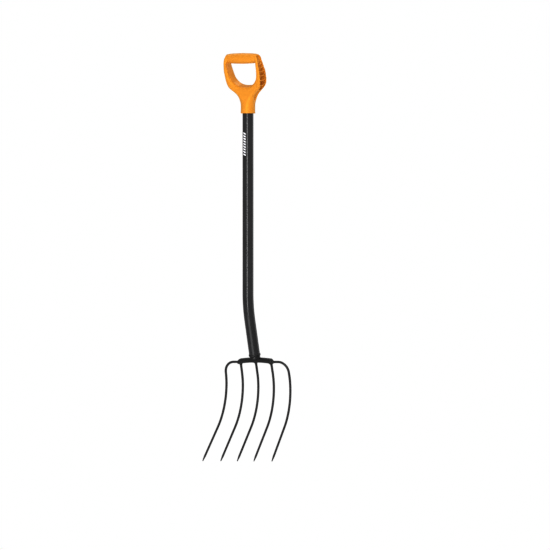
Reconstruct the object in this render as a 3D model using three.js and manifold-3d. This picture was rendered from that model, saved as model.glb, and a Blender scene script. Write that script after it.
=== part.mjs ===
// A five-tine garden fork: moulded D-grip, cranked steel tube, arched crown and curved round tines.
// Millimetres. +Z runs up the straight upper part of the tube, +X across the fork, and the tines
// curve towards -Y, the front. The origin is the point on the underside of the grip bar
// where the fork hangs on a peg, so that the tube's axis lies at Y = HANG_BACK.

import * as THREE from 'three';
import { mergeVertices } from 'three/addons/utils/BufferGeometryUtils.js';
import Module from 'manifold-3d';

const wasm = await Module();
wasm.setup();

// Whole tool
const TIP_Z = -1255;            // tine tips, measured from the underside of the grip bar
const HANG_BACK = 29.5;         // from the hanging point back to the tube's axis
const GAP = 0.3;                // between pieces that touch on the real fork

// Tube
const TUBE_R = 17;
const TUBE_WALL = 1.5;
const TUBE_TOP_Z = -90.6;
const CRANK_Z = -768;           // where the axes of the two straight parts of the tube cross
const CRANK = THREE.MathUtils.degToRad(14.2);
const CRANK_R = 350;
const TUBE_FOOT = 156.5;        // distances below are along the lower tube's axis, from the crank
const TUBE_SIDES = 28;

// Crown
const CROWN_MID = 173;
const CROWN_HEIGHT = 15;
const CROWN_DEPTH = 16;
const CROWN_TOP_HALF = 58;
const CROWN_END_HALF = 65.5;
const CROWN_ARCH = 3.8;         // drop of the crown's centre line at CROWN_TOP_HALF
const CROWN_CHAMFER = 3;

// Tines
const TINE_R = 3.5;
const TINE_TIP_R = 3;           // where the point starts
const TINE_POINT = 20;
const TINE_END_R = 1.1;
const TINE_SIDES = 12;
const TINE_INSET = 8;           // how far the inner tines go into the crown
const OUTER_INSET = 3.2;        // and the outer ones, which stop short of their neighbours
const TINE_BACK = 1.5;          // tine axes behind the crown's mid plane
const STRAIGHT_END = 215.8;     // end of the straight root
const UPPER_R = 181;            // radius of the bend back to vertical
const LOWER_R = 213;            // radius of the bend towards the front
const TIP_ANGLE = THREE.MathUtils.degToRad(36.9);
const INNER_X = [57.2, 62.4];   // at the crown and at the tip
const OUTER_X = [118.8, 130.3];
const SHOULDER_LINE = 179.8;    // level of the outer tines' horizontal shoulders
const SHOULDER_R = 35;

// Stub and weld beads
const STUB_SHOULDER_R = 16.2;
const STUB_SPIGOT = 46;          // how far the stub reaches up into the tube
const STUB_SINK = 3;             // and down into the crown
const BEAD_R = 18.6;
const BEAD_HALF = 4.2;
const ROOT_BEAD_R = 6;
const ROOT_BEAD_DROP = 7;
const OUTER_BEAD = 0.83;        // size of the outer tines' root beads against the others
const BEAD_SINK = [5, 2];       // how far the inner and the outer root beads start inside the crown
const ROOT_BEAD_FRONT = 2.6;    // how much further a root bead reaches forward

// Handle
const GRIP_LEAN = THREE.MathUtils.degToRad(16);
const LEAN_Z = -110;            // the neck starts to lean forward here
const LEAN_R = 128;
const COLLAR_R = 22.5;
const COLLAR_END_Z = -156.7;
const COLLAR_LIP = 0.4;
const BAR_MID = 21.2;           // height of the grip bar's centre along the leaning grip
const BAR_HALF_HEIGHT = 17.3;
const BAR_HALF_DEPTH = 15.5;
const OPENING_BOTTOM = -69.5;
const RIB_END = 1.8;            // from the ribs' ends to the handle's front and back
const RIB = 2.2;
const RIB_RECESS = 1.6;         // of the ribs' edges inside the outline
const RIB_ROOT = 2;             // how far the ribs go into the channels' floors
const DRAFT = 1;                // how much a channel widens from its floor to its mouth, on each side
const MOUTH_CLEARANCE = 12;     // how far the channel cutters stand out of the handle
const BORE_LENGTH = 90;
const RIB_HEIGHTS = [6, -6, -18.5, -32, -47, -63, -79];
const SCREW_Z = -141;
const SCREW_HEAD_R = 4.4;
const SCREW_HEAD = 2.6;
const SCREW_SHANK_R = 2;
const SCREW_LENGTH = 13;
const SCREW_SIDES = 16;
const NECK_SIDES = 40;

const ORANGE = new THREE.MeshStandardMaterial({ color: 0xf0962a, roughness: 0.42, metalness: 0 });
const SHAFT_PAINT = new THREE.MeshStandardMaterial({ color: 0x2a2b2c, roughness: 0.35, metalness: 0.1 });
const HEAD_PAINT = new THREE.MeshStandardMaterial({ color: 0x1c1c1d, roughness: 0.5, metalness: 0.1 });
const STEEL = new THREE.MeshStandardMaterial({ color: 0x9a9c9e, roughness: 0.35, metalness: 0.9 });

const fork = new THREE.Group();
fork.position.y = HANG_BACK;

// ---------------------------------------------------------------- geometry helpers

function facingOut(geometry) {
  const p = geometry.attributes.position;
  const index = geometry.index.array;
  const a = new THREE.Vector3();
  const b = new THREE.Vector3();
  const c = new THREE.Vector3();
  let volume = 0;
  for (let i = 0; i < index.length; i += 3) {
    a.fromBufferAttribute(p, index[i]);
    b.fromBufferAttribute(p, index[i + 1]);
    c.fromBufferAttribute(p, index[i + 2]);
    volume += a.dot(b.cross(c));
  }
  if (volume < 0) index.reverse();
  return geometry;
}

// A closed skin through rings of equal point counts: capped at both ends, or closed on itself.
function loft(rings, joined = false) {
  const sides = rings[0].length;
  const points = rings.flat();
  const index = [];
  const bands = joined ? rings.length : rings.length - 1;
  for (let r = 0; r < bands; r++) {
    const here = r * sides;
    const next = ((r + 1) % rings.length) * sides;
    for (let i = 0; i < sides; i++) {
      const j = (i + 1) % sides;
      index.push(here + i, here + j, next + j, here + i, next + j, next + i);
    }
  }
  if (!joined) {
    const last = (rings.length - 1) * sides;
    for (let i = 1; i < sides - 1; i++) {
      index.push(0, i + 1, i, last, last + i, last + i + 1);
    }
  }
  const geometry = new THREE.BufferGeometry().setFromPoints(points);
  geometry.setIndex(index);
  return facingOut(geometry);
}

function toSolid(geometry) {
  const bare = geometry.clone();
  for (const name of Object.keys(bare.attributes)) {
    if (name !== 'position') bare.deleteAttribute(name);
  }
  const merged = facingOut(mergeVertices(bare, 1e-4));
  return new wasm.Manifold(new wasm.Mesh({
    numProp: 3,
    vertProperties: new Float32Array(merged.attributes.position.array),
    triVerts: new Uint32Array(merged.index.array),
  }));
}

// The largest of the bodies that a cut leaves.
function mainBody(solid) {
  return solid.decompose().sort((a, b) => b.volume() - a.volume())[0];
}

function toGeometry(solid) {
  const mesh = solid.getMesh();
  const geometry = new THREE.BufferGeometry();
  geometry.setAttribute('position', new THREE.BufferAttribute(mesh.vertProperties, 3));
  geometry.setIndex(new THREE.BufferAttribute(mesh.triVerts, 1));
  return geometry;
}

function addPiece(name, geometry, material) {
  const mesh = new THREE.Mesh(geometry, material.clone());
  mesh.name = name;
  fork.add(mesh);
}

// Rings round a path. The rings' frame is carried along, so that the skin doesn't twist.
function ringsAlong(points, radii, sides, startNormal) {
  const normal = startNormal.clone();
  return points.map((point, k) => {
    const before = points[Math.max(k - 1, 0)];
    const after = points[Math.min(k + 1, points.length - 1)];
    const tangent = new THREE.Vector3().subVectors(after, before).normalize();
    normal.addScaledVector(tangent, -normal.dot(tangent)).normalize();
    const side = new THREE.Vector3().crossVectors(tangent, normal);
    return Array.from({ length: sides }, (_, i) => {
      const turn = (i / sides) * 2 * Math.PI;
      return point.clone()
        .addScaledVector(normal, Math.cos(turn) * radii[k])
        .addScaledVector(side, Math.sin(turn) * radii[k]);
    });
  });
}

// A smooth value through [position, value] pairs given in rising order of position.
function along(pairs) {
  const curve = new THREE.SplineCurve(pairs.map(([t, v]) => new THREE.Vector2(t, v)));
  const samples = curve.getPoints(pairs.length * 12);
  return (t) => {
    const k = samples.findIndex((p) => p.x >= t);
    if (k === 0) return samples[0].y;
    if (k < 0) return samples[samples.length - 1].y;
    const [p, q] = [samples[k - 1], samples[k]];
    return p.y + ((q.y - p.y) * (t - p.x)) / (q.x - p.x);
  };
}

function steps(from, to, count) {
  return Array.from({ length: count + 1 }, (_, i) => from + ((to - from) * i) / count);
}

// ---------------------------------------------------------------- frame of the lower tube

const DOWN = new THREE.Vector3(0, Math.sin(CRANK), -Math.cos(CRANK));
const BACK = new THREE.Vector3(0, Math.cos(CRANK), Math.sin(CRANK));
const ACROSS = new THREE.Vector3(1, 0, 0);

function lowerPoint(x, back, down) {
  return new THREE.Vector3(x, 0, CRANK_Z).addScaledVector(BACK, back).addScaledVector(DOWN, down);
}

const LOWER_FRAME = new THREE.Matrix4()
  .makeBasis(ACROSS, DOWN.clone().negate(), BACK.clone().negate())
  .setPosition(new THREE.Vector3(0, 0, CRANK_Z));

// ---------------------------------------------------------------- tube

function tubeAxis() {
  const tangent = CRANK_R * Math.tan(CRANK / 2);
  const bend = steps(0, CRANK, 8).map((a) => new THREE.Vector3(
    0,
    CRANK_R * (1 - Math.cos(a)),
    CRANK_Z + tangent - CRANK_R * Math.sin(a),
  ));
  return [new THREE.Vector3(0, 0, TUBE_TOP_Z), ...bend, lowerPoint(0, 0, TUBE_FOOT)];
}

function makeShaft() {
  const axis = tubeAxis();
  const same = (r) => axis.map(() => r);
  const outer = ringsAlong(axis, same(TUBE_R), TUBE_SIDES, ACROSS);
  const inner = ringsAlong(axis, same(TUBE_R - TUBE_WALL), TUBE_SIDES, ACROSS);
  const tube = toSolid(loft([...outer, ...inner.reverse()], true));
  addPiece('shaft', toGeometry(tube.subtract(screwHole(SCREW_SHANK_R + GAP, 0))), SHAFT_PAINT);
}

// ---------------------------------------------------------------- tines

// The side view that all tines share, as points from `start` down to the tip, with the
// distance travelled from the crank, for the spread and the taper.
function tineProfile(start) {
  const rootY = STRAIGHT_END * Math.sin(CRANK);
  const rootZ = CRANK_Z - STRAIGHT_END * Math.cos(CRANK);
  const place = (y, z, travelled) => ({ y, z, travelled });
  const root = steps(start, STRAIGHT_END, 2).map((d) => place(
    d * Math.sin(CRANK), CRANK_Z - d * Math.cos(CRANK), d,
  ));
  const upper = steps(CRANK, 0, 5).slice(1).map((a) => place(
    rootY + UPPER_R * (Math.cos(a) - Math.cos(CRANK)),
    rootZ - UPPER_R * (Math.sin(CRANK) - Math.sin(a)),
    STRAIGHT_END + UPPER_R * (CRANK - a),
  ));
  const turn = upper[upper.length - 1];
  const lower = steps(0, TIP_ANGLE, 9).slice(1).map((a) => place(
    turn.y - LOWER_R * (1 - Math.cos(a)),
    turn.z - LOWER_R * Math.sin(a),
    turn.travelled + LOWER_R * a,
  ));
  const end = lower[lower.length - 1];
  const length = (end.z - TIP_Z) / Math.cos(TIP_ANGLE);
  const straight = [0.45, 1 - TINE_POINT / length, 1 - TINE_POINT / (3 * length), 1].map((t) => place(
    end.y - t * length * Math.sin(TIP_ANGLE),
    end.z - t * length * Math.cos(TIP_ANGLE),
    end.travelled + t * length,
  ));
  return [...root, ...upper, ...lower, ...straight];
}

function tineRadius(travelled, total) {
  const toTip = total - travelled;
  if (toTip >= TINE_POINT) {
    const share = (travelled - CROWN_MID) / (total - TINE_POINT - CROWN_MID);
    return THREE.MathUtils.lerp(TINE_R, TINE_TIP_R, Math.max(0, share) ** 1.6);
  }
  return THREE.MathUtils.lerp(TINE_END_R, TINE_TIP_R, (toTip / TINE_POINT) ** 0.85);
}

// A tine from profile points, spreading from x[0] at its first point to x[1] at the tip.
function tineFrom(profile, x, shoulder, grow) {
  const total = profile[profile.length - 1].travelled;
  const first = profile[0].travelled;
  const side = Math.sign(x[1]);
  const drop = profile.map(({ y, z, travelled }) => new THREE.Vector3(
    THREE.MathUtils.lerp(x[0], x[1], (travelled - first) / (total - first)), y, z,
  ).addScaledVector(BACK, TINE_BACK));
  const points = [...shoulder, ...drop];
  const radii = [
    ...shoulder.map(() => TINE_R + grow),
    ...profile.map(({ travelled }) => tineRadius(travelled, total) + grow),
  ];
  const startNormal = shoulder.length ? BACK : new THREE.Vector3(side || 1, 0, 0);
  return loft(ringsAlong(points, radii, TINE_SIDES, startNormal));
}

function innerTine(side, grow = 0) {
  const start = CROWN_MID + CROWN_HEIGHT / 2 - TINE_INSET - grow;
  return tineFrom(tineProfile(start), INNER_X.map((x) => x * side), [], grow);
}

function outerTine(side, grow = 0) {
  const inside = CROWN_END_HALF - OUTER_INSET - grow;
  const turnX = OUTER_X[0] - SHOULDER_R;
  const corner = steps(0, Math.PI / 2, 7).slice(0, -1).map((a) => lowerPoint(
    side * (turnX + SHOULDER_R * Math.sin(a)),
    TINE_BACK,
    SHOULDER_LINE + SHOULDER_R * (1 - Math.cos(a)),
  ));
  const shoulder = [lowerPoint(side * inside, TINE_BACK, SHOULDER_LINE), ...corner];
  const profile = tineProfile(SHOULDER_LINE + SHOULDER_R).filter((_, i) => i !== 1);
  return tineFrom(profile, OUTER_X.map((x) => x * side), shoulder, grow);
}

function nameTine(name, weld, side, outer) {
  const make = (grow) => (outer ? outerTine(side, grow) : innerTine(side, grow));
  return { name, weld, side, outer, make };
}

const TINES = [
  nameTine('outer_tine_left', 'outer_weld_left', -1, true),
  nameTine('inner_tine_left', 'inner_weld_left', -1, false),
  nameTine('centre_tine', 'centre_weld', 0, false),
  nameTine('inner_tine_right', 'inner_weld_right', 1, false),
  nameTine('outer_tine_right', 'outer_weld_right', 1, true),
];

// ---------------------------------------------------------------- crown

function crownOutline(grow) {
  const dropAt = (x) => CROWN_ARCH * (x / CROWN_TOP_HALF) ** 2;
  const half = CROWN_HEIGHT / 2 + grow - CROWN_CHAMFER;
  const topHalf = CROWN_TOP_HALF + grow - CROWN_CHAMFER;
  const endHalf = CROWN_END_HALF + grow - CROWN_CHAMFER;
  const top = steps(-topHalf, topHalf, 12).map((x) => new THREE.Vector2(x, -CROWN_MID - dropAt(x) + half));
  const bottom = steps(topHalf, -topHalf, 12).map((x) => new THREE.Vector2(x, -CROWN_MID - dropAt(x) - half));
  const end = (side) => [0.55, 1].map((t) => new THREE.Vector2(
    side * endHalf, -CROWN_MID + half - 2 * half * t - dropAt(endHalf) * 0.9,
  ));
  return new THREE.Shape([...top, ...end(1), ...bottom, ...end(-1).reverse()]);
}

function crownBody(grow = 0) {
  const depth = CROWN_DEPTH + 2 * grow - 2 * CROWN_CHAMFER;
  const geometry = new THREE.ExtrudeGeometry(crownOutline(grow), {
    depth,
    bevelThickness: CROWN_CHAMFER,
    bevelSize: CROWN_CHAMFER,
    bevelSegments: 1,
  });
  geometry.translate(0, 0, -depth / 2);
  return toSolid(geometry.applyMatrix4(LOWER_FRAME));
}

function makeCrown() {
  let crown = crownBody();
  for (const tine of TINES) crown = crown.subtract(toSolid(tine.make(GAP)));
  addPiece('crown', toGeometry(crown), HEAD_PAINT);
}

// ---------------------------------------------------------------- stub and weld beads

// A turned piece from [radius, distance below the crank] pairs, on the lower tube's axis.
function turnedOnLowerTube(profile, sides) {
  const geometry = new THREE.LatheGeometry(
    profile.map(([r, down]) => new THREE.Vector2(r, -down)), sides,
  );
  return geometry.applyMatrix4(LOWER_FRAME);
}

function makeStub() {
  const spigotR = TUBE_R - TUBE_WALL - GAP;
  const shoulder = TUBE_FOOT + GAP;
  const foot = CROWN_MID - CROWN_HEIGHT / 2 + STUB_SINK;
  const blank = turnedOnLowerTube([
    [0, shoulder - STUB_SPIGOT], [spigotR - 2, shoulder - STUB_SPIGOT],
    [spigotR, shoulder - STUB_SPIGOT + 2], [spigotR, shoulder],
    [STUB_SHOULDER_R, shoulder], [STUB_SHOULDER_R, foot], [0, foot],
  ], TUBE_SIDES);
  addPiece('shaft_stub', toGeometry(toSolid(blank).subtract(crownBody(GAP))), HEAD_PAINT);
}

function makeShaftWeld() {
  const inside = TUBE_R + GAP;
  const arc = steps(-1, 1, 6).map((t) => [
    inside + (BEAD_R - inside) * (1 - t * t), TUBE_FOOT + t * BEAD_HALF,
  ]);
  addPiece('shaft_weld', toGeometry(toSolid(turnedOnLowerTube([...arc, arc[0]], TUBE_SIDES))), HEAD_PAINT);
}

// An oval ring round a tine's root that reaches further to the front.
function beadRing(centre, side, back, radius) {
  return Array.from({ length: TINE_SIDES }, (_, i) => {
    const turn = (i / TINE_SIDES) * 2 * Math.PI;
    const forward = Math.max(0, -Math.sin(turn)) * ROOT_BEAD_FRONT * (radius / ROOT_BEAD_R);
    return centre.clone()
      .addScaledVector(side, Math.cos(turn) * radius)
      .addScaledVector(back, Math.sin(turn) * radius - forward);
  });
}

function rootBead(tine) {
  const crownBottom = CROWN_MID + CROWN_HEIGHT / 2;
  const arch = CROWN_ARCH * ((tine.side * INNER_X[0]) / CROWN_TOP_HALF) ** 2;
  const [innerSink, outerSink] = BEAD_SINK;
  const radius = tine.outer ? ROOT_BEAD_R * OUTER_BEAD : ROOT_BEAD_R;
  const length = tine.outer ? ROOT_BEAD_DROP * OUTER_BEAD : ROOT_BEAD_DROP;
  const shape = [[0, 1], [0.35, 0.78], [0.7, 0.66], [1, 0.6]];
  const flare = shape.map(([t, share]) => [t * length, radius * share]);
  const rings = [[tine.outer ? -outerSink : -innerSink, radius], ...flare].map(([drop, r]) => {
    if (tine.outer) {
      const x = tine.side * (CROWN_END_HALF + drop);
      return beadRing(lowerPoint(x, TINE_BACK, SHOULDER_LINE), DOWN, BACK, r);
    }
    const centre = lowerPoint(tine.side * INNER_X[0], TINE_BACK, crownBottom + arch + drop);
    return beadRing(centre, ACROSS, BACK, r);
  });
  return toSolid(loft(rings)).subtract(crownBody(GAP)).subtract(toSolid(tine.make(GAP)));
}

function makeTinesAndWelds() {
  for (const tine of TINES) {
    addPiece(tine.name, tine.make(0), HEAD_PAINT);
    addPiece(tine.weld, toGeometry(mainBody(rootBead(tine))), HEAD_PAINT);
  }
}

// ---------------------------------------------------------------- handle

// The handle is drawn upright and then leans forward: (x, back, up) is carried round an arc
// that starts at LEAN_Z, and above the arc everything follows the leaning grip.
function lean(x, back, up) {
  const turned = THREE.MathUtils.clamp((up - LEAN_Z) / LEAN_R, 0, GRIP_LEAN);
  const beyond = up - LEAN_Z - turned * LEAN_R;
  const s = Math.sin(turned);
  const c = Math.cos(turned);
  return new THREE.Vector3(
    x,
    -LEAN_R * (1 - c) - beyond * s + back * c,
    LEAN_Z + LEAN_R * s + beyond * c + back * s,
  );
}

// Half widths and depths of the upright handle by height.
const outerHalf = along([
  [-160, 22.5], [-133, 22.5], [-124, 23], [-118.5, 24.4], [-113, 26.3], [-106.5, 28.7], [-98.5, 33.1],
  [-90.6, 40.2], [-84, 47.2], [-77.5, 54.6], [-71, 60.3], [-58, 65.7], [-45, 67.5], [-18, 68], [4, 66.2],
  [12, 65.4], [20, 64], [26, 61], [32, 57],
]);
const openingHalf = along([
  [OPENING_BOTTOM, 2], [-68.9, 11], [-66.4, 21.6], [-61.8, 30.6], [-56.2, 37.4], [-49.4, 43.2],
  [-41.3, 47.9], [-31.3, 51.4], [-18, 53.9], [0, 55], [30, 55],
]);
const frontDepth = along([
  [-160, 22.5], [-133, 22.5], [-124, 22.3], [-114, 21.5], [-104, 20.5], [-92, 20.1], [-78, 20.4],
  [-60, 20.6], [-45, 20.4], [-18, 19.8], [4, 18.6], [18, 15.6], [32, 10],
]);
const rearDepth = along([
  [-160, 22.5], [-133, 22.5], [-124, 22.3], [-114, 21.5], [-104, 20.5], [-92, 20.1], [-78, 20.4],
  [-60, 20.6], [-45, 20.4], [-30, 20.1], [-20, 19.2], [-10, 17], [4, 14.4], [12, 12.4], [21, 9.4], [32, 5],
]);

// The channel in each side, which runs out down the neck: its floor's distance from the middle, and its
// mouth's half width and offset to the back.
const channelFloor = along([
  [-117, 24.4], [-110, 23.4], [-104, 24.2], [-98, 27.4], [-90.6, 34.8], [-84, 41], [-76, 46],
  [-66, 50.2], [-58, 52.8], [-50, 54.6], [-40, 56.2], [-30, 57.2], [-18, 58], [0, 58.8], [10, 58.4],
  [18, 57.4], [29, 55.4],
]);
const channelHalf = along([
  [-116, 1.5], [-110, 6], [-104, 8.2], [-96, 9.6], [-90, 10], [-84, 10.6], [-76, 12.6], [-66, 15.6],
  [-50, 17.4], [-18, 16.6], [4, 14], [18, 9.6], [30, 2],
]);
const channelMiddle = along([[-116, 0], [-90, 0], [-60, 0.6], [-20, 0.4], [0, -1.2], [20, -2], [32, -2.2]]);

// A rounded box section from x0 to x1, drawn at height `up`. power 2 is an ellipse.
function section(x0, x1, up, power, sides) {
  const middle = (x0 + x1) / 2;
  const half = (x1 - x0) / 2;
  return Array.from({ length: sides }, (_, i) => {
    const turn = ((i + 0.5) / sides) * 2 * Math.PI;
    const c = Math.cos(turn);
    const s = Math.sin(turn);
    const depth = s > 0 ? rearDepth(up) : frontDepth(up);
    const x = Math.sign(c) * Math.abs(c) ** (2 / power) * half;
    const back = Math.sign(s) * Math.abs(s) ** (2 / power) * depth;
    return lean(middle + x, back, up);
  });
}

function collarRing(radius, up) {
  return Array.from({ length: NECK_SIDES }, (_, i) => {
    const turn = ((i + 0.5) / NECK_SIDES) * 2 * Math.PI;
    return lean(Math.cos(turn) * radius, Math.sin(turn) * radius, up);
  });
}

function neck() {
  const heights = [
    COLLAR_END_Z + 4, -133, -124, -118.5, -113, -106.5, -98.5, -90.6, -84, -77.5, -73, OPENING_BOTTOM + 0.3,
  ];
  const power = along([[-160, 2], [-133, 2], [-104, 2.6], [-84, 4], [-60, 5]]);
  const lip = COLLAR_R + COLLAR_LIP;
  const rings = heights.map((up) => section(-outerHalf(up), outerHalf(up), up, power(up), NECK_SIDES));
  return toSolid(loft([
    collarRing(COLLAR_R, COLLAR_END_Z),
    collarRing(lip, COLLAR_END_Z + 1),
    collarRing(lip, COLLAR_END_Z + 2.6),
    ...rings,
  ]));
}

function leg(side) {
  const heights = [
    -76, OPENING_BOTTOM - 0.1, -68.9, -66.4, -61.8, -56.2, -49.4, -41.3, -31.3, -18, -6, 6, 16, 24,
  ];
  const rings = heights.map((up) => {
    const from = up < OPENING_BOTTOM ? 0 : openingHalf(up);
    const [left, right] = [from * side, outerHalf(up) * side].sort((a, b) => a - b);
    return section(left, right, up, 4, 28);
  });
  return toSolid(loft(rings));
}

function gripBar() {
  const stations = [-64.2, -63, -59, -50, -34, -17, 0, 17, 34, 50, 59, 63, 64.2];
  const shrink = along([[0, 1], [34, 0.93], [50, 0.87], [59, 0.74], [63, 0.52], [64.2, 0.3]]);
  const rings = stations.map((x) => Array.from({ length: 28 }, (_, i) => {
    const turn = (i / 28) * 2 * Math.PI;
    const size = shrink(Math.abs(x));
    return lean(
      x,
      Math.cos(turn) * BAR_HALF_DEPTH * Math.min(1, size * 1.08),
      BAR_MID + Math.sin(turn) * BAR_HALF_HEIGHT * size,
    );
  }));
  return toSolid(loft(rings));
}

function channel(side) {
  const heights = [-115, -110, -104, -98, -90.6, -84, -76, -66, -58, -50, -40, -30, -18, -6, 6, 18, 29];
  const rings = heights.map((up) => {
    const middle = channelMiddle(up);
    const inner = Math.max(channelHalf(up) - DRAFT, 0.2);
    const outer = inner + 2 * DRAFT;
    const floor = channelFloor(up);
    const mouth = outerHalf(up) + MOUTH_CLEARANCE;
    const corners = [
      [floor, middle - inner], [floor, middle + inner], [mouth, middle + outer], [mouth, middle - outer],
    ];
    return corners.map(([x, back]) => lean(x * side, back, up));
  });
  return toSolid(loft(rings));
}

function rib(side, up) {
  const front = RIB_END - frontDepth(up);
  const rear = rearDepth(up) - RIB_END;
  const rings = [up - RIB / 2, up + RIB / 2].map((level) => {
    const floor = channelFloor(level) - RIB_ROOT;
    const edge = outerHalf(level) - RIB_RECESS;
    return [[floor, front], [floor, rear], [edge, rear], [edge, front]]
      .map(([x, back]) => lean(x * side, back, level));
  });
  return toSolid(loft(rings));
}

// A cutter for a hole that leads out through the back of the collar.
function screwHole(radius, from) {
  const length = COLLAR_R + MOUTH_CLEARANCE - from;
  const geometry = new THREE.CylinderGeometry(radius, radius, length, SCREW_SIDES);
  geometry.translate(0, from + length / 2, SCREW_Z);
  return toSolid(geometry);
}

function makeHandle() {
  let body = neck().add(leg(1)).add(leg(-1)).add(gripBar());
  for (const side of [1, -1]) {
    body = body.subtract(channel(side));
    for (const up of RIB_HEIGHTS) body = body.add(rib(side, up));
  }
  const boreTop = TUBE_TOP_Z + GAP;
  const bore = new THREE.CylinderGeometry(TUBE_R + GAP, TUBE_R + GAP, BORE_LENGTH, TUBE_SIDES);
  bore.rotateX(Math.PI / 2);
  bore.translate(0, 0, boreTop - BORE_LENGTH / 2);
  body = body.subtract(toSolid(bore)).subtract(screwHole(SCREW_SHANK_R + GAP, 0));
  body = body.subtract(screwHole(SCREW_HEAD_R + GAP, COLLAR_R - SCREW_HEAD - GAP));
  addPiece('handle', toGeometry(body), ORANGE);
}

function makeScrew() {
  const profile = [
    [0, 0], [SCREW_HEAD_R - 1, 0], [SCREW_HEAD_R, -0.9], [SCREW_HEAD_R, -SCREW_HEAD],
    [SCREW_SHANK_R, -SCREW_HEAD], [SCREW_SHANK_R, -SCREW_LENGTH + 2], [0, -SCREW_LENGTH],
  ].map(([r, y]) => new THREE.Vector2(r, y + COLLAR_R)).reverse();
  const geometry = new THREE.LatheGeometry(profile, SCREW_SIDES);
  geometry.translate(0, 0, SCREW_Z);
  addPiece('handle_screw', toGeometry(toSolid(geometry)), STEEL);
}

makeHandle();
makeScrew();
makeShaft();
makeStub();
makeShaftWeld();
makeCrown();
makeTinesAndWelds();

export default fork;
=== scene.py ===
"""Looks of a five-tine garden fork: moulded D-grip, cranked painted tube, arched crown, curved round tines.

The shapes are drawn in millimetres in the tool's own upright frame (tube axis at X = Y = 0, the grip bar's
underside at Z = 0) and are placed in the row frame by TOOL_ORIGIN. Blender's own lengths are metres.
"""

import math

import bpy
import numpy as np
from mathutils import Matrix, Vector


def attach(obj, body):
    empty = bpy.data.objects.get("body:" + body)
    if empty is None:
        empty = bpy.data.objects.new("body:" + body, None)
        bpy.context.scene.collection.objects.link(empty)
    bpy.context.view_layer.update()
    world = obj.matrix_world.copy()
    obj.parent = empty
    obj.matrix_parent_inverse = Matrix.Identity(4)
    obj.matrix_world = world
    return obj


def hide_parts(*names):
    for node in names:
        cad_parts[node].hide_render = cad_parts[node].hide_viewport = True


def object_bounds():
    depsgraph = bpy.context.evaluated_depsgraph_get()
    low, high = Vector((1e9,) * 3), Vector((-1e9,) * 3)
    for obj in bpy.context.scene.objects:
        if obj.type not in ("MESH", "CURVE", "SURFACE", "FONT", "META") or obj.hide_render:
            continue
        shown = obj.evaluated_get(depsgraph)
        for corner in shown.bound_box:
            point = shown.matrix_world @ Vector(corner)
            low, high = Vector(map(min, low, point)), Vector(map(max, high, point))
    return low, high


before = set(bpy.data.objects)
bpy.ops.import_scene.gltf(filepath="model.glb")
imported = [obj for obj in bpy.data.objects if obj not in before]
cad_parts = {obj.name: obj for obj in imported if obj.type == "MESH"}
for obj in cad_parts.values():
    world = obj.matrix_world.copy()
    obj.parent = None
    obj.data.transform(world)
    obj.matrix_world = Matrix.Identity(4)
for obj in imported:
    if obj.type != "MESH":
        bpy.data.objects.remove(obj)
cad_low, cad_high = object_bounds()

MM = 0.001
TOOL_ORIGIN = np.array([0.0, 29.5, 0.0])  # the hanging point is this far in front of the tube's axis

# Tube, from the grip down to the crank and on to its foot
TUBE_R, TUBE_WALL = 17.0, 1.5
TUBE_TOP = -90.6
CRANK_Z, CRANK, CRANK_R = -768.0, math.radians(14.2), 350.0
TUBE_FOOT = 156.5  # lengths below are measured down the lower tube's axis from the crank

# Stub: the spigot inside the tube, and (radius, distance below the tube's foot) where it spreads to the crown
SPIGOT_LENGTH, SPIGOT_LEAD, SHOULDER_EDGE = 46.0, 2.0, 0.4
SHOULDER_TURN = ((16.2, 0.5), (16.2, 6.0), (16.8, 8.6), (17.0, 10.5))

# Crown
CROWN_MID, CROWN_HEIGHT, CROWN_DEPTH = 173.0, 15.0, 16.0
CROWN_TOP_HALF, CROWN_END_HALF, CROWN_ARCH, CROWN_CHAMFER = 58.0, 65.5, 3.8, 3.0
CROWN_END_SLOPE = 0.72

# Tines
TINE_R, TINE_TIP_R, TINE_END_R, TINE_POINT = 3.6, 3.15, 1.2, 20.0
TINE_INSET, OUTER_INSET, TINE_BACK = 8.0, 3.2, 1.5
STRAIGHT_END, UPPER_R, LOWER_R = 215.8, 181.0, 213.0
TIP_ANGLE, TIP_Z = math.radians(36.9), -1255.0
INNER_X, OUTER_X = (57.2, 62.4), (118.8, 130.3)
SHOULDER_LINE, SHOULDER_R = 179.8, 35.0

# Handle
GRIP_LEAN, LEAN_Z, LEAN_R = math.radians(16.0), -110.0, 128.0
COLLAR_R, COLLAR_END, COLLAR_LIP = 22.5, -156.7, 0.4
BAR_MID, BAR_HALF_HEIGHT, BAR_HALF_DEPTH, BAR_END = 20.95, 16.95, 15.5, 64.8
RIB_HALF, RIB_RECESS, RIB_SAG = 1.1, 1.6, 3.2
RIB_HEIGHTS = (6.0, -6.0, -18.5, -32.0, -47.0, -63.0, -79.0)
SCREW_Z, SCREW_HEAD_R, SCREW_HEAD = -141.0, 4.4, 2.6
GAP = 0.3


# ------------------------------------------------------------------ curves and meshes


def smooth_line(points, steps=10):
    """Points on a smooth curve through the given ones."""
    p = np.array(points, float)
    p = np.vstack([2 * p[0] - p[1], p, 2 * p[-1] - p[-2]])
    t = np.linspace(0, 1, steps, endpoint=False)[:, None]
    parts = []
    for a, b, c, d in zip(p[:-3], p[1:-2], p[2:-1], p[3:]):
        square = 2 * a - 5 * b + 4 * c - d
        cube = 3 * b - a - 3 * c + d
        parts.append(0.5 * (2 * b + (c - a) * t + square * t**2 + cube * t**3))
    return np.vstack([*parts, p[-2:-1]])


def curve_through(pairs):
    """A smooth function of one variable through (position, value) pairs in rising order."""
    line = smooth_line(pairs)
    return lambda x: np.interp(x, line[:, 0], line[:, 1])


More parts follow.
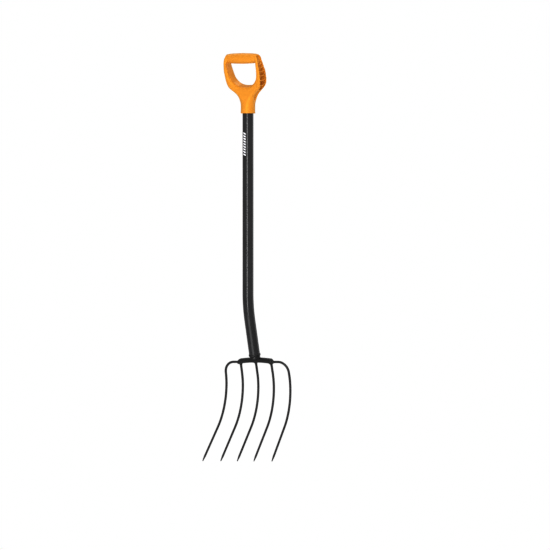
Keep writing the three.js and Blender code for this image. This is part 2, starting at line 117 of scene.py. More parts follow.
def new_piece(name, points, faces, replaces=(), slot=None, material=None):
    """A smooth-shaded mesh object from tool-frame millimetres, riding on the fork's one body."""
    mesh = bpy.data.meshes.new(name)
    places = (np.asarray(points) + TOOL_ORIGIN) * MM
    mesh.from_pydata(places.tolist(), [], [list(map(int, face)) for face in faces])
    mesh.validate()
    mesh.shade_smooth()
    mesh.set_sharp_from_angle(angle=math.radians(60))
    piece = bpy.data.objects.new(name, mesh)
    bpy.context.scene.collection.objects.link(piece)
    if material:
        mesh.materials.append(material)
    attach(piece, "root")
    if replaces:
        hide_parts(*replaces)
    return piece


def skin(rings, joined=False):
    """Points and quads through rings of equal counts, capped at the ends or closed on itself."""
    rings = np.asarray(rings, float)
    count, sides = rings.shape[:2]
    faces = []
    for r in range(count if joined else count - 1):
        here, after = r * sides, (r + 1) % count * sides
        for i in range(sides):
            j = (i + 1) % sides
            faces.append((here + i, here + j, after + j, after + i))
    if not joined:
        faces.append(tuple(reversed(range(sides))))
        faces.append(tuple(range((count - 1) * sides, count * sides)))
    return rings.reshape(-1, 3), faces


def unit(v):
    return v / np.linalg.norm(v)


def rings_along(path, radii, sides, normal):
    """Circles round a path, with a frame that is carried along it."""
    path = np.asarray(path, float)
    turn = np.linspace(0, 2 * math.pi, sides, endpoint=False)[:, None]
    rings = []
    for k, (point, radius) in enumerate(zip(path, radii)):
        along = unit(path[min(k + 1, len(path) - 1)] - path[max(k - 1, 0)])
        normal = unit(normal - along * (along @ normal))
        side = np.cross(along, normal)
        rings.append(point + radius * (np.cos(turn) * normal + np.sin(turn) * side))
    return rings


# The lower tube's frame: DOWN its axis, BACK out of its rear
DOWN = np.array([0, math.sin(CRANK), -math.cos(CRANK)])
BACK = np.array([0, math.cos(CRANK), math.sin(CRANK)])
ACROSS = np.array([1.0, 0, 0])


def lower_point(x, back, down):
    return np.array([x, 0, CRANK_Z]) + back * BACK + down * DOWN


# ------------------------------------------------------------------ solids drawn as distance fields


def round_max(a, b, r):
    """The distance to what both fields hold, with their common edge rounded to radius r."""
    return np.minimum(np.maximum(a, b) + r, 0) + np.hypot(np.maximum(a + r, 0), np.maximum(b + r, 0)) - r


def round_min(a, b, r):
    """The distance to what either field holds, with a fillet of radius r between them."""
    return -round_max(-a, -b, r)


def polygon_field(px, py, corners):
    """The signed distance to a closed outline, negative inside."""
    corners = np.asarray(corners, float)
    best = np.full(np.broadcast(px, py).shape, np.inf)
    inside = np.zeros(best.shape, bool)
    for (ax, ay), (bx, by) in zip(corners, np.roll(corners, -1, axis=0)):
        dx, dy = bx - ax, by - ay
        t = np.clip(((px - ax) * dx + (py - ay) * dy) / max(dx * dx + dy * dy, 1e-9), 0, 1)
        best = np.minimum(best, (px - ax - t * dx) ** 2 + (py - ay - t * dy) ** 2)
        if dy:
            crossed = ((ay > py) != (by > py)) & (px < ax + (py - ay) * dx / dy)
            inside ^= crossed
    return np.where(inside, -1, 1) * np.sqrt(best)


def grid(low, high, step):
    """Three open axes that cover a box."""
    axes = [np.arange(a, b + step, step) for a, b in zip(low, high)]
    return axes[0][:, None, None], axes[1][None, :, None], axes[2][None, None, :]


def sample(field, p):
    """The field between grid points, at grid coordinates p."""
    i = np.clip(np.floor(p).astype(int), 0, np.array(field.shape) - 2)
    t = p - i
    value = 0
    for corner in np.ndindex(2, 2, 2):
        share = np.prod(np.where(corner, t, 1 - t), axis=1)
        value = value + share * field[tuple((i + corner).T)]
    return value


def net_surface(field, low, step):
    """Quads on the field's zero level: a point in each crossed cell, settled onto the level."""
    shape = np.array(field.shape) - 1
    cells, crossings, quads = [], [], []
    for axis in range(3):
        u, v = (axis + 1) % 3, (axis + 2) % 3
        f = np.moveaxis(field, (axis, u, v), (0, 1, 2))
        rising = (f[:-1] < 0) & (f[1:] >= 0)
        falling = (f[:-1] >= 0) & (f[1:] < 0)
        i, j, k = np.nonzero((rising | falling)[:, 1:-1, 1:-1])
        j, k = j + 1, k + 1
        a, b = f[i, j, k], f[i + 1, j, k]
        point = np.empty((len(i), 3))
        point[:, axis], point[:, u], point[:, v] = i + a / (a - b), j, k
        corner_ids = []
        for dj, dk in ((1, 1), (0, 1), (0, 0), (1, 0)):
            cell = np.empty((len(i), 3), int)
            cell[:, axis], cell[:, u], cell[:, v] = i, j - dj, k - dk
            corner_ids.append(np.ravel_multi_index(cell.T, shape))
            cells.append(corner_ids[-1])
            crossings.append(point)
        quad = np.stack(corner_ids, axis=1)
        quads.append(np.where((a < 0)[:, None], quad, quad[:, ::-1]))
    ids, place = np.unique(np.concatenate(cells), return_inverse=True)
    crossings = np.concatenate(crossings)
    count = np.bincount(place)
    points = np.stack([np.bincount(place, crossings[:, c]) / count for c in range(3)], axis=1)
    faces = np.searchsorted(ids, np.concatenate(quads))
    for _ in range(3):
        value = sample(field, points)
        slope = np.stack(
            [(sample(field, points + d) - sample(field, points - d)) for d in 0.5 * np.eye(3)], axis=1
        )
        points -= np.clip(value / np.maximum((slope**2).sum(1), 1e-6), -0.5, 0.5)[:, None] * slope
    return points * step + np.array(low), faces


# ------------------------------------------------------------------ materials


def material(name, metallic=0.0, **sockets):
    """A Principled material, with the sockets that are even all over set on the shader itself."""
    made = bpy.data.materials.new(name)
    made.use_nodes = True
    shader = made.node_tree.nodes["Principled BSDF"]
    shader.inputs["Metallic"].default_value = metallic
    for socket, value in sockets.items():
        shader.inputs[socket.replace("_", " ")].default_value = value
    return made, made.node_tree, shader


def add(tree, kind, **inputs):
    node = tree.nodes.new(kind)
    for name, value in inputs.items():
        socket = node.inputs[name.replace("_", " ")]
        if isinstance(value, bpy.types.NodeSocket):
            tree.links.new(value, socket)
        else:
            socket.default_value = value
    return node


def noise(tree, place, scale, detail=3.0, roughness=0.55):
    texture = add(tree, "ShaderNodeTexNoise", Vector=place, Scale=scale, Detail=detail, Roughness=roughness)
    return texture.outputs["Fac"]


def spread(tree, value, low, high, start=0.3, end=0.7):
    node = add(tree, "ShaderNodeMapRange", Value=value)
    for name, number in (("From Min", start), ("From Max", end), ("To Min", low), ("To Max", high)):
        node.inputs[name].default_value = number
    return node.outputs["Result"]


def blend_colours(tree, share, first, second):
    node = tree.nodes.new("ShaderNodeMix")
    node.data_type = "RGBA"
    tree.links.new(share, node.inputs["Factor"])
    for socket, colour in zip([s for s in node.inputs if s.type == "RGBA"], (first, second)):
        if isinstance(colour, bpy.types.NodeSocket):
            tree.links.new(colour, socket)
        else:
            socket.default_value = (*colour, 1)
    return [s for s in node.outputs if s.type == "RGBA"][0]


def raised(tree, shader, *layers):
    """Bump layers of (height, strength, depth in metres), the coarsest first."""
    normal = None
    for height, strength, depth in layers:
        node = add(tree, "ShaderNodeBump", Height=height, Strength=strength, Distance=depth)
        if normal:
            tree.links.new(normal, node.inputs["Normal"])
        normal = node.outputs["Normal"]
    tree.links.new(normal, shader.inputs["Normal"])


def grip_plastic():
    """Satin moulded plastic: a fine spark-eroded grain, faint flow clouds, and handling sheen."""
    made, tree, shader = material(
        "grip_plastic", IOR=1.47, Specular_IOR_Level=0.6, Specular_Tint=(1.0, 0.66, 0.14, 1.0))
    place = tree.nodes.new("ShaderNodeTexCoord").outputs["Object"]
    clouds = spread(tree, noise(tree, place, 38, 2), 0, 1)
    colour = blend_colours(tree, clouds, (0.615, 0.280, 0.044), (0.655, 0.306, 0.052))
    specks = spread(tree, noise(tree, place, 1900, 1), 0, 0.05, 0.62, 0.74)
    colour = blend_colours(tree, specks, colour, (0.64, 0.225, 0.016))
    tree.links.new(colour, shader.inputs["Base Color"])
    tree.links.new(spread(tree, noise(tree, place, 120, 4), 0.34, 0.42), shader.inputs["Roughness"])
    raised(tree, shader,
           (noise(tree, place, 180, 2), 0.05, 0.0002),
           (noise(tree, place, 2600, 2), 0.06, 0.00003))
    return made


def powder_coat(name, dark, light, rough, peel):
    """Black paint on steel: orange peel, dust-fine specks and slightly uneven gloss."""
    made, tree, shader = material(name, IOR=1.5)
    place = tree.nodes.new("ShaderNodeTexCoord").outputs["Object"]
    shade = spread(tree, noise(tree, place, 30, 3), 0, 1)
    colour = blend_colours(tree, shade, (dark,) * 3, (light, light, light * 1.06))
    tree.links.new(colour, shader.inputs["Base Color"])
    tree.links.new(spread(tree, noise(tree, place, 75, 4), rough[0], rough[1]), shader.inputs["Roughness"])
    raised(tree, shader,
           (noise(tree, place, 300, 2), peel, 0.0003),
           (noise(tree, place, 1500, 2), peel, 0.00008))
    return made


def tool_steel():
    """Zinc-plated steel with fine turning marks."""
    made, tree, shader = material("bare_steel", metallic=1.0)
    place = tree.nodes.new("ShaderNodeTexCoord").outputs["Object"]
    shade = spread(tree, noise(tree, place, 400, 4), 0, 1)
    colour = blend_colours(tree, shade, (0.42, 0.42, 0.43), (0.58, 0.58, 0.58))
    tree.links.new(colour, shader.inputs["Base Color"])
    tree.links.new(spread(tree, noise(tree, place, 700, 3), 0.24, 0.42), shader.inputs["Roughness"])
    raised(tree, shader, (noise(tree, place, 1800, 2), 0.2, 0.00005))
    return made


def print_ink():
    """Pale grey pad-printed ink, worn a little thin in places."""
    made, tree, shader = material("print_ink")
    place = tree.nodes.new("ShaderNodeTexCoord").outputs["Object"]
    worn = spread(tree, noise(tree, place, 900, 3), 0, 0.5, 0.52, 0.7)
    colour = blend_colours(tree, worn, (0.80, 0.80, 0.82), (0.40, 0.40, 0.42))
    tree.links.new(colour, shader.inputs["Base Color"])
    tree.links.new(spread(tree, worn, 0.4, 0.55, 0, 1), shader.inputs["Roughness"])
    return made


def paper_floor():
    made, tree, shader = material("studio_floor", Roughness=0.8)
    place = tree.nodes.new("ShaderNodeTexCoord").outputs["Object"]
    shade = spread(tree, noise(tree, place, 3, 2), 0, 1)
    colour = blend_colours(tree, shade, (0.90, 0.90, 0.90), (0.93, 0.93, 0.93))
    tree.links.new(colour, shader.inputs["Base Color"])
    return made


PLASTIC = grip_plastic()
SHAFT_PAINT = powder_coat("shaft_paint", 0.024, 0.030, (0.17, 0.23), 0.015)
HEAD_PAINT = powder_coat("head_paint", 0.009, 0.014, (0.34, 0.46), 0.08)
TINE_PAINT = powder_coat("tine_paint", 0.010, 0.015, (0.38, 0.52), 0.05)
STEEL = tool_steel()


# ------------------------------------------------------------------ camera, light and floor

VIEW_GAMMA = 0.65
ROOM_FRONT, ROOM_DIM, ROOM_BRIGHT = (0.70, -0.68, 0.22), 0.34, 1.10
FLOOR_REACH, FLOOR_DROP = 45.0, 1.6
CAMERA_AZIMUTH = math.radians(33.0)
CAMERA_DISTANCE = 60.0
PICTURE_WIDTH = 1.7378  # metres across the picture at the fork
AIM_RIGHT, AIM_Z = 0.0853, -0.6672  # the picture's centre, right of the tube's axis and below the grip bar


def around(azimuth, height, distance):
    """A point at an azimuth in degrees, 0 in front of the fork and 90 to its right, in metres."""
    a = math.radians(azimuth)
    return Vector((distance * math.sin(a), 0.03 - distance * math.cos(a), height))


def add_camera():
    camera = bpy.data.cameras.new("camera")
    camera.sensor_width = 36.0
    camera.lens = camera.sensor_width * CAMERA_DISTANCE / PICTURE_WIDTH
    camera.clip_end = 200.0
    holder = bpy.data.objects.new("camera", camera)
    bpy.context.scene.collection.objects.link(holder)
    toward = Vector((math.sin(CAMERA_AZIMUTH), -math.cos(CAMERA_AZIMUTH), 0))
    right = Vector((math.cos(CAMERA_AZIMUTH), math.sin(CAMERA_AZIMUTH), 0))
    aim = Vector((0, TOOL_ORIGIN[1] * MM, AIM_Z)) + right * AIM_RIGHT
    holder.location = aim + toward * CAMERA_DISTANCE
    holder.rotation_euler = (-toward).to_track_quat("-Z", "Y").to_euler()
    bpy.context.scene.camera = holder


def add_light(name, place, target, size, watts, colour=(1, 1, 1)):
    light = bpy.data.lights.new(name, "AREA")
    light.shape = "RECTANGLE"
    light.size, light.size_y = size
    light.energy = watts
    light.color = colour
    holder = bpy.data.objects.new(name, light)
    bpy.context.scene.collection.objects.link(holder)
    holder.location = place
    holder.rotation_euler = (Vector(target) - Vector(place)).to_track_quat("-Z", "Y").to_euler()


def add_world():
    """White to the eye; to what it lights, a grey room that is brightest in front and dim behind."""
    world = bpy.data.worlds.new("studio")
    bpy.context.scene.world = world
    world.use_nodes = True
    tree = world.node_tree
    room = tree.nodes["Background"]
    white = add(tree, "ShaderNodeBackground", Color=(1, 1, 1, 1), Strength=1.0)
    facing = tree.nodes.new("ShaderNodeVectorMath")
    facing.operation = "DOT_PRODUCT"
    tree.links.new(tree.nodes.new("ShaderNodeTexCoord").outputs["Generated"], facing.inputs[0])
    facing.inputs[1].default_value = ROOM_FRONT
    shade = spread(tree, facing.outputs["Value"], 0, 1, -1, 1)
    tree.links.new(blend_colours(tree, shade, (ROOM_DIM,) * 3, (ROOM_BRIGHT,) * 3), room.inputs["Color"])
    seen = tree.nodes.new("ShaderNodeLightPath").outputs["Is Camera Ray"]
    mix = add(tree, "ShaderNodeMixShader", Fac=seen)
    tree.links.new(room.outputs[0], mix.inputs[1])
    tree.links.new(white.outputs[0], mix.inputs[2])
    tree.links.new(mix.outputs[0], tree.nodes["World Output"].inputs["Surface"])


def add_floor():
    mesh = bpy.data.meshes.new("studio_floor")
    level = cad_low.z - FLOOR_DROP
    corners = [(x * FLOOR_REACH, y * FLOOR_REACH, level) for x, y in ((-1, -1), (1, -1), (1, 1), (-1, 1))]
    mesh.from_pydata(corners, [], [(0, 1, 2, 3)])
    mesh.materials.append(paper_floor())
    floor = bpy.data.objects.new("studio_floor", mesh)
    bpy.context.scene.collection.objects.link(floor)


add_camera()
add_world()
add_floor()
MIDDLE = (0, 0.03, -0.6)
add_light("key", around(16, -0.35, 3.0), MIDDLE, (0.55, 2.9), 58)
add_light("low_front", around(10, -2.2, 2.6), (0, 0.05, -0.85), (2.2, 0.8), 13)
add_light("right_high", around(60, 1.9, 2.4), (0, 0, -0.2), (1.6, 1.6), 9)
add_light("right_rear", around(150, -0.5, 3.0), MIDDLE, (0.8, 2.6), 12)
add_light("back_high", around(172, 3.0, 2.0), (0, 0, -0.3), (1.6, 1.6), 26)
add_light("left_high", around(-105, 3.0, 2.0), (0, 0, -0.3), (1.6, 1.6), 20)
bpy.context.scene.view_settings.view_transform = "Standard"
bpy.context.scene.view_settings.gamma = VIEW_GAMMA


# ------------------------------------------------------------------ handle

# The grip's outer outline and its opening, as (x, height) points up the right half
OUTLINE = smooth_line([
    (22.5, -176), (22.5, -150), (22.5, -133), (23, -124), (24.4, -118.5), (26.3, -113), (28.7, -106.5),
    (33.1, -98.5), (40.2, -90.6), (47.2, -84), (54.6, -77.5), (60.3, -71), (65.7, -58), (67.5, -45),
    (68, -18), (66.2, 4), (65.4, 12), (63.8, 19.4), (60.8, 24.8), (56.2, 29), (50, 32.4), (42, 34.8),
    (26, 37), (8, 38), (0, 38),
])
OPENING = smooth_line([
    (0, -69.5), (11, -68.9), (21.6, -66.4), (30.6, -61.8), (37.4, -56.2), (43.2, -49.4), (47.9, -41.3),
    (51.4, -31.3), (53.9, -18), (55, 0), (55, 60),
])
# Depths and edge radii by height
FRONT_DEPTH = curve_through([
    (-176, 22.5), (-150, 22.5), (-133, 22.5), (-124, 22.3), (-114, 21.5), (-104, 20.5), (-92, 20.1),
    (-78, 20.4), (-60, 20.6), (-45, 20.4), (-18, 19.8), (4, 18.6), (18, 15.6), (32, 10), (44, 5),
])
REAR_DEPTH = curve_through([
    (-176, 22.5), (-150, 22.5), (-133, 22.5), (-124, 22.3), (-114, 21.5), (-104, 20.5), (-92, 20.1),
    (-78, 20.4), (-60, 20.6), (-45, 20.4), (-30, 20.1), (-20, 19.2), (-10, 17), (4, 14.4), (12, 12.4),
    (21, 9.4), (30, 6), (44, 2),
])
FRONT_EDGE = curve_through([
    (-176, 22.5), (-133, 22.5), (-122, 20.5), (-112, 17.5), (-100, 14), (-84, 11.5), (-60, 11),
    (-38, 9), (-18, 7), (10, 6), (44, 3),
])
REAR_EDGE = curve_through([
    (-176, 22.5), (-133, 22.5), (-122, 21), (-110, 19), (-97, 16.5), (-84, 13), (-70, 8.5), (-58, 6.5),
    (4, 5.5), (20, 4), (44, 1.5),
])
OPENING_EDGE = curve_through([(-176, 9.5), (-55, 9.5), (-40, 7.5), (-20, 5), (0, 3.4), (60, 3.4)])
# The channel in each side, which runs out down the neck: its floor's distance from the middle, and its mouth
CHANNEL_LOW, CHANNEL_HIGH = -116.0, 31.5
CHANNEL_FLOOR = curve_through([
    (-117, 24.4), (-110, 23.4), (-104, 24.2), (-98, 27.4), (-90.6, 34.8), (-84, 41), (-76, 46),
    (-66, 50.2), (-58, 52.8), (-50, 54.6), (-40, 56.2), (-30, 57.2), (-18, 58), (0, 58.8), (10, 58.4),
    (18, 57.4), (32, 55),
])
CHANNEL_MIDDLE = curve_through([(-116, 0), (-90, 0), (-60, 0.6), (-20, 0.4), (0, -1.2), (20, -2), (32, -2.2)])
CHANNEL_HALF = curve_through([
    (-116, 1.5), (-110, 6), (-104, 8.2), (-96, 9.6), (-90, 10), (-84, 10.6), (-76, 12.6), (-66, 15.6),
    (-50, 17.4), (-18, 16.6), (4, 14), (18, 10.6), (27, 7.4), (31.5, 3.5),
])
BAR_SIZE = curve_through([(0, 1), (34, 0.935), (48, 0.87), (56, 0.78), (62, 0.66), (70, 0.5)])


def mirrored(right):
    """A closed outline from its right half."""
    return np.vstack([right, right[::-1] * (-1, 1)])


def grip_field(x, n, u):
    """The handle, upright: x across, n back, u up."""
    side = np.abs(x)
    outer_half = np.interp(u, OUTLINE[:, 1], OUTLINE[:, 0])
    outline = polygon_field(x[:, 0], u[0], mirrored(OUTLINE))[:, None]
    opening = polygon_field(x[:, 0], u[0], mirrored(OPENING))[:, None]
    lip = COLLAR_LIP * np.clip((COLLAR_END + 4.6 - u) / 0.8, 0, 1)
    depth = np.where(n > 0, REAR_DEPTH(u), FRONT_DEPTH(u)) + lip
    edge = np.where(n > 0, REAR_EDGE(u), FRONT_EDGE(u))
    body = round_max(outline - lip, np.abs(n) - depth, edge)
    body = round_max(body, -opening, OPENING_EDGE(u))

    size = BAR_SIZE(side)
    round_bar = np.sqrt((n / (BAR_HALF_DEPTH * np.minimum(1, 1.06 * size))) ** 2
                        + ((u - BAR_MID) / (BAR_HALF_HEIGHT * size)) ** 2)
    bar = round_max((round_bar - 1) * BAR_HALF_DEPTH, side - BAR_END, 9.0)
    body = round_min(body, bar, 5.0)

    levels = np.linspace(CHANNEL_LOW, CHANNEL_HIGH, 75)
    half, middle = CHANNEL_HALF(levels), CHANNEL_MIDDLE(levels)
    rim = np.concatenate([np.stack([middle + half, levels], 1), np.stack([middle - half, levels], 1)[::-1]])
    mouth = polygon_field(n[0], u[0], rim)[None]
    channel = round_max(mouth, CHANNEL_FLOOR(u) - side, 3.0)
    bow = RIB_SAG * (1 - (n / 16) ** 2)
    ribs = np.full(body.shape, np.inf)
    for height in RIB_HEIGHTS:
        ribs = np.minimum(ribs, np.abs(u - height + bow) - RIB_HALF)
    ribs = np.maximum(ribs, side - outer_half + RIB_RECESS)
    body = round_max(body, -round_max(channel, -ribs, 1.3), 1.2)

    body = round_max(body, COLLAR_END - u, 1.6)
    bore_middle = np.maximum(u - LEAN_Z, 0) ** 2 / (2 * LEAN_R)
    bore = round_max(np.hypot(x, n - bore_middle) - TUBE_R - GAP, u - TUBE_TOP - GAP, 0.5)
    body = round_max(body, -bore, 0.8)
    seat = round_max(np.hypot(x, u - SCREW_Z) - SCREW_HEAD_R - GAP, COLLAR_R - SCREW_HEAD - GAP - n, 0.4)
    return round_max(body, -seat, 0.6)


def lean(points):
    """Carries upright (x, back, up) points round the arc in the neck onto the leaning grip."""
    x, back, up = points.T
    turned = np.clip((up - LEAN_Z) / LEAN_R, 0, GRIP_LEAN)
    beyond = up - LEAN_Z - turned * LEAN_R
    s, c = np.sin(turned), np.cos(turned)
    return np.stack([
        x, -LEAN_R * (1 - c) - beyond * s + back * c, LEAN_Z + LEAN_R * s + beyond * c + back * s,
    ], axis=1)


def make_handle():
    step = 1.0
    low, high = (-72.0, -26.0, COLLAR_END - 3), (72.0, 26.0, 42.0)
    field = grip_field(*grid(low, high, step))
    points, faces = net_surface(field, low, step)
    handle = new_piece("grip_handle", lean(points), faces, ["handle"], "grip_plastic", PLASTIC)
    relax = handle.modifiers.new("relax", "SMOOTH")
    relax.factor, relax.iterations = 0.35, 2
    return handle


make_handle()


# ------------------------------------------------------------------ tube, stub and mark


def tube_axis():
    tangent = CRANK_R * math.tan(CRANK / 2)
    straight = [(0, 0, z) for z in np.linspace(TUBE_TOP, CRANK_Z + tangent, 24, endpoint=False)]
    bend = [(0, CRANK_R * (1 - math.cos(a)), CRANK_Z + tangent - CRANK_R * math.sin(a))
            for a in np.linspace(0, CRANK, 20)]
    foot = [lower_point(0, 0, d) for d in np.linspace(tangent, TUBE_FOOT, 8)[1:]]
    return np.array([*straight, *bend, *foot])


def make_shaft():
    axis, sides = tube_axis(), 96
    rings = rings_along(axis, [TUBE_R] * len(axis), sides, ACROSS)
    bore = rings_along(axis, [TUBE_R - TUBE_WALL] * len(axis), sides, ACROSS)
    new_piece("shaft_tube", *skin([*rings, *bore[::-1]], joined=True), ["shaft"], "shaft_paint", SHAFT_PAINT)


def turned(name, profile, centre, axis, start, sides, **facts):
    """A turned piece from (radius, distance along the axis) pairs, capped at its ends."""
    side = np.cross(axis, start)
    turn = np.linspace(0, 2 * math.pi, sides, endpoint=False)[:, None]
    rings = [centre + axis * d + r * (np.cos(turn) * start + np.sin(turn) * side) for r, d in profile]
    return new_piece(name, *skin(rings), **facts)


def make_stub():
    spigot, shoulder = TUBE_R - TUBE_WALL - GAP, TUBE_FOOT + GAP
    profile = [
        (spigot - SPIGOT_LEAD, shoulder - SPIGOT_LENGTH),
        (spigot, shoulder - SPIGOT_LENGTH + SPIGOT_LEAD),
        (spigot, shoulder - SHOULDER_EDGE),
        (SHOULDER_TURN[0][0] - SHOULDER_EDGE, shoulder),
        *[(radius, shoulder + drop) for radius, drop in SHOULDER_TURN],
    ]
    turned("shaft_stub_neck", profile, lower_point(0, 0, 0), DOWN, ACROSS, 72,
           replaces=["shaft_stub"], slot="head_paint", material=HEAD_PAINT)


MARK_AZIMUTH, MARK_TOP, MARK_LENGTH, MARK_HEIGHT = math.radians(-10), -216.0, 75.0, 10.0
MARK_BARS, MARK_BAR, MARK_SLANT = 9, 4.6, 4.0


def make_mark():
    """A plain row of slanted bars printed down the front of the tube."""
    pitch = (MARK_LENGTH - MARK_BAR - MARK_SLANT) / (MARK_BARS - 1)
    share = np.linspace(-0.5, 0.5, 13)
    angle = MARK_AZIMUTH + share * MARK_HEIGHT / TUBE_R
    radius = TUBE_R + 0.05
    points, faces = [], []
    for bar in range(MARK_BARS):
        top = MARK_TOP - bar * pitch - MARK_SLANT * (share + 0.5)
        first = len(points)
        for z in (top, top - MARK_BAR):
            points += list(zip(radius * np.sin(angle), -radius * np.cos(angle), z))
        faces += [(first + i, first + i + 13, first + i + 14, first + i + 1) for i in range(12)]
    new_piece("shaft_mark", points, faces, slot="shaft_paint", material=print_ink())


make_shaft()
make_stub()
make_mark()


# ------------------------------------------------------------------ crown


def crown_field(x, n, d):
    """The arched bar: x across, n back, d down from the crown's centre line."""
    arch = CROWN_ARCH * (x / CROWN_TOP_HALF) ** 2
    swell = sum(np.exp(-((x - side * INNER_X[0]) / 7.5) ** 2) for side in (-1, 0, 1))
    down = d - arch
    face = np.abs(down) - CROWN_HEIGHT / 2 - 0.9 * swell * (down > 0)
    front = np.maximum(-n - CROWN_DEPTH / 2 - 0.5 * swell, n - CROWN_DEPTH / 2)
    corner = np.abs(down) + np.abs(n) - (CROWN_HEIGHT + CROWN_DEPTH) / 2
    chamfer = (corner + CROWN_CHAMFER - 0.6 * swell) / math.sqrt(2)
    ends = np.abs(x) - CROWN_END_HALF + np.maximum(-down + 1.5, 0) * CROWN_END_SLOPE
    ends = np.maximum(np.abs(x) - CROWN_END_HALF, ends / math.hypot(1, CROWN_END_SLOPE))
    bar = round_max(round_max(face, front, 1.6), chamfer, 1.4)
    return round_max(bar, ends, 1.8)


def make_crown():
    step = 0.6
    low, high = (-68.0, -11.0, -10.0), (68.0, 10.5, 16.0)
    points, faces = net_surface(crown_field(*grid(low, high, step)), low, step)
    x, back, down = points[:, :1], points[:, 1:2], points[:, 2:]
    placed = np.array([0, 0, CRANK_Z]) + x * ACROSS + back * BACK + (down + CROWN_MID) * DOWN
    crown = new_piece("crown_bar", placed, faces[:, ::-1], ["crown"], "head_paint", HEAD_PAINT)
    relax = crown.modifiers.new("relax", "SMOOTH")
    relax.factor, relax.iterations = 0.4, 2


make_crown()


# ------------------------------------------------------------------ tines


def tine_profile(start):
    """The shared side view from `start` down to the tip, as (y, z, distance travelled) rows."""
    straight = np.linspace(start, STRAIGHT_END, 4)
    rows = [(d * math.sin(CRANK), CRANK_Z - d * math.cos(CRANK), d) for d in straight]
    y, z, travelled = rows[-1]
    for a in np.linspace(CRANK, 0, 12)[1:]:
        back = UPPER_R * (math.cos(a) - math.cos(CRANK))
        down = UPPER_R * (math.sin(CRANK) - math.sin(a))
        rows.append((y + back, z - down, travelled + UPPER_R * (CRANK - a)))
    y, z, travelled = rows[-1]
    for a in np.linspace(0, TIP_ANGLE, 24)[1:]:
        rows.append((y - LOWER_R * (1 - math.cos(a)), z - LOWER_R * math.sin(a), travelled + LOWER_R * a))
    y, z, travelled = rows[-1]
    length = (z - TIP_Z) / math.cos(TIP_ANGLE)
    point = length - TINE_POINT * np.linspace(1, 0, 10) ** 1.5
    for d in [*np.linspace(0, length - TINE_POINT, 8)[1:-1], *point]:
        rows.append((y - d * math.sin(TIP_ANGLE), z - d * math.cos(TIP_ANGLE), travelled + d))
    return np.array(rows)


def tine_radii(travelled):
    to_tip = travelled[-1] - travelled
    share = np.clip((travelled - CROWN_MID) / (travelled[-1] - TINE_POINT - CROWN_MID), 0, 1)
    rod = TINE_R + (TINE_TIP_R - TINE_R) * share**1.6
    point = TINE_END_R + (TINE_TIP_R - TINE_END_R) * np.clip(to_tip / TINE_POINT, 0, 1) ** 0.85
    return np.where(to_tip >= TINE_POINT, rod, point)


def make_tine(name, node, side, outer):
    x0, x1 = OUTER_X if outer else INNER_X
    start = SHOULDER_LINE + SHOULDER_R if outer else CROWN_MID + CROWN_HEIGHT / 2 - TINE_INSET
    profile = tine_profile(start)
    travelled = profile[:, 2]
    x = side * (x0 + (x1 - x0) * (travelled - travelled[0]) / (travelled[-1] - travelled[0]))
    path = np.column_stack([x, profile[:, :2]]) + TINE_BACK * BACK
    radii = tine_radii(travelled)
    normal = ACROSS
    if outer:
        turn_x = x0 - SHOULDER_R
        level = [lower_point(side * w, TINE_BACK, SHOULDER_LINE)
                 for w in np.linspace(CROWN_END_HALF - OUTER_INSET, turn_x, 4, endpoint=False)]
        corner = [lower_point(side * (turn_x + SHOULDER_R * math.sin(a)), TINE_BACK,
                              SHOULDER_LINE + SHOULDER_R * (1 - math.cos(a)))
                  for a in np.linspace(0, math.pi / 2, 18, endpoint=False)]
        path = np.vstack([level, corner, path])
        radii = np.concatenate([np.full(len(path) - len(radii), TINE_R), radii])
        normal = BACK
    new_piece(name, *skin(rings_along(path, radii, 28, normal)), [node], "head_paint", TINE_PAINT)


# The five roots: name, side, and whether the tine turns out of the crown's end
ROOTS = (
    ("outer_{}_left", -1, True),
    ("inner_{}_left", -1, False),
    ("centre_{}", 0, False),
    ("inner_{}_right", 1, False),
    ("outer_{}_right", 1, True),
)
for root, side, outer in ROOTS:
    make_tine(root.format("tine") + "_rod", root.format("tine"), side, outer)


# ------------------------------------------------------------------ weld beads and screw

FOOT_BEAD, FOOT_BEAD_HALF = 1.2, 3.6
# Root beads: how far they stand out of the rod, their length down it, and their extra reach at the front
OUTER_BEAD, INNER_BEAD = (1.5, 4.5, 0.6), (2.7, 7.0, 2.4)
SCREW_DOME = 1.5


def bead_rings(centre, axis, front, sides, profile, ripples, height, reach):
    """Rippled rings round an axis, from (radius, distance along it) pairs, with `reach` more at the front."""
    side = np.cross(axis, front)
    turn = np.linspace(0, 2 * math.pi, sides, endpoint=False)
    rings = []
    for radius, d in profile:
        forward = reach * np.clip(np.cos(turn), 0, 1) * np.clip(radius / profile[0][0] - 0.55, 0, 1) / 0.45
        ripple = height * np.abs(np.sin(turn * ripples / 2 + 0.25 * d))
        out = (radius + forward + ripple)[:, None]
        rings.append(centre + axis * d + out * (np.cos(turn)[:, None] * front + np.sin(turn)[:, None] * side))
    return rings


def make_shaft_weld():
    inside, outside = TUBE_R + 0.05, TUBE_R + FOOT_BEAD
    share = np.linspace(-1, 1, 15)
    arc = [(inside + (outside - inside) * (1 - t * t) ** 0.6, TUBE_FOOT + t * FOOT_BEAD_HALF) for t in share]
    rings = bead_rings(lower_point(0, 0, 0), DOWN, -BACK, 160, arc, 30, 0.45, 0)
    new_piece("shaft_weld_bead", *skin(rings), ["shaft_weld"], "head_paint", HEAD_PAINT)


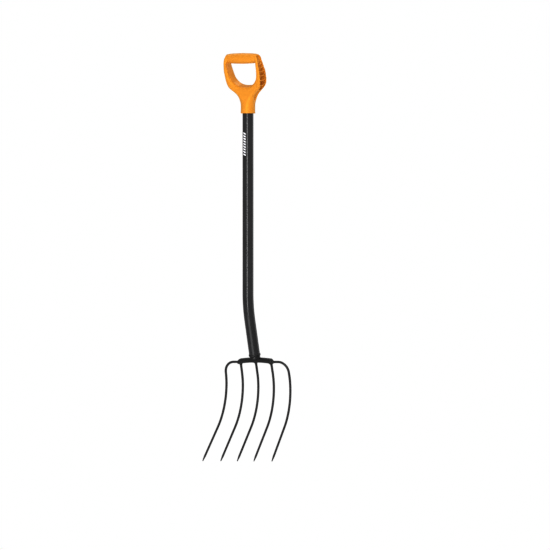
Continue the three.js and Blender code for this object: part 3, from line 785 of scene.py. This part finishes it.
def make_root_welds():
    crown_bottom = CROWN_MID + CROWN_HEIGHT / 2
    for root, side, outer in ROOTS:
        part = root.format("weld")
        arch = CROWN_ARCH * (side * INNER_X[0] / CROWN_TOP_HALF) ** 2
        if outer:
            centre, axis = lower_point(side * CROWN_END_HALF, TINE_BACK, SHOULDER_LINE), side * ACROSS
        else:
            centre, axis = lower_point(side * INNER_X[0], TINE_BACK, crown_bottom + arch), DOWN
        drop = np.linspace(0, 1, 12)
        wide, long, reach = OUTER_BEAD if outer else INNER_BEAD
        flare = [(3.5 + wide, -1.5), *[(3.45 + wide * (1 - t) ** 2.2, long * t) for t in drop]]
        rings = bead_rings(centre, axis, -BACK, 72, flare, 13, 0.28, reach)
        new_piece(part + "_bead", *skin(rings), [part], "head_paint", HEAD_PAINT)


def make_screw():
    """A pan-head screw with a cross recess, seen in its seat at the back of the collar."""
    back, up = np.array([0, 1.0, 0]), np.array([0, 0, 1.0])
    dome = [(2.0, 9.5), (2.0, COLLAR_R - SCREW_HEAD), (SCREW_HEAD_R, COLLAR_R - SCREW_HEAD)]
    for a in np.linspace(0.1, 1.35, 9):
        dome.append((SCREW_HEAD_R * math.cos(a), COLLAR_R - SCREW_DOME + SCREW_DOME * math.sin(a)))
    centre = np.array([0, 0, SCREW_Z])
    screw = turned("collar_screw", dome, centre, back, ACROSS, 48,
                   replaces=["handle_screw"], slot="bare_steel", material=STEEL)
    arms = []
    for along, wide in ((ACROSS, up), (up, ACROSS)):
        corners = [(a * 2.3, w * 0.45) for a, w in ((-1, -1), (1, -1), (1, 1), (-1, 1))]
        rings = [[centre + back * d + along * a * s + wide * w * s for a, w in corners]
                 for d, s in ((COLLAR_R - 1.2, 0.55), (COLLAR_R + 1.0, 1.1))]
        points, faces = skin(rings)
        mesh = bpy.data.meshes.new("recess")
        mesh.from_pydata(((points + TOOL_ORIGIN) * MM).tolist(), [], faces)
        arm = bpy.data.objects.new("recess", mesh)
        bpy.context.scene.collection.objects.link(arm)
        cut = screw.modifiers.new("recess", "BOOLEAN")
        cut.object, cut.operation, cut.solver = arm, "DIFFERENCE", "EXACT"
        arms.append(arm)
    bpy.context.view_layer.update()
    shape = bpy.data.meshes.new_from_object(screw.evaluated_get(bpy.context.evaluated_depsgraph_get()))
    screw.modifiers.clear()
    screw.data = shape
    for arm in arms:
        bpy.data.objects.remove(arm)


make_shaft_weld()
make_root_welds()
make_screw()
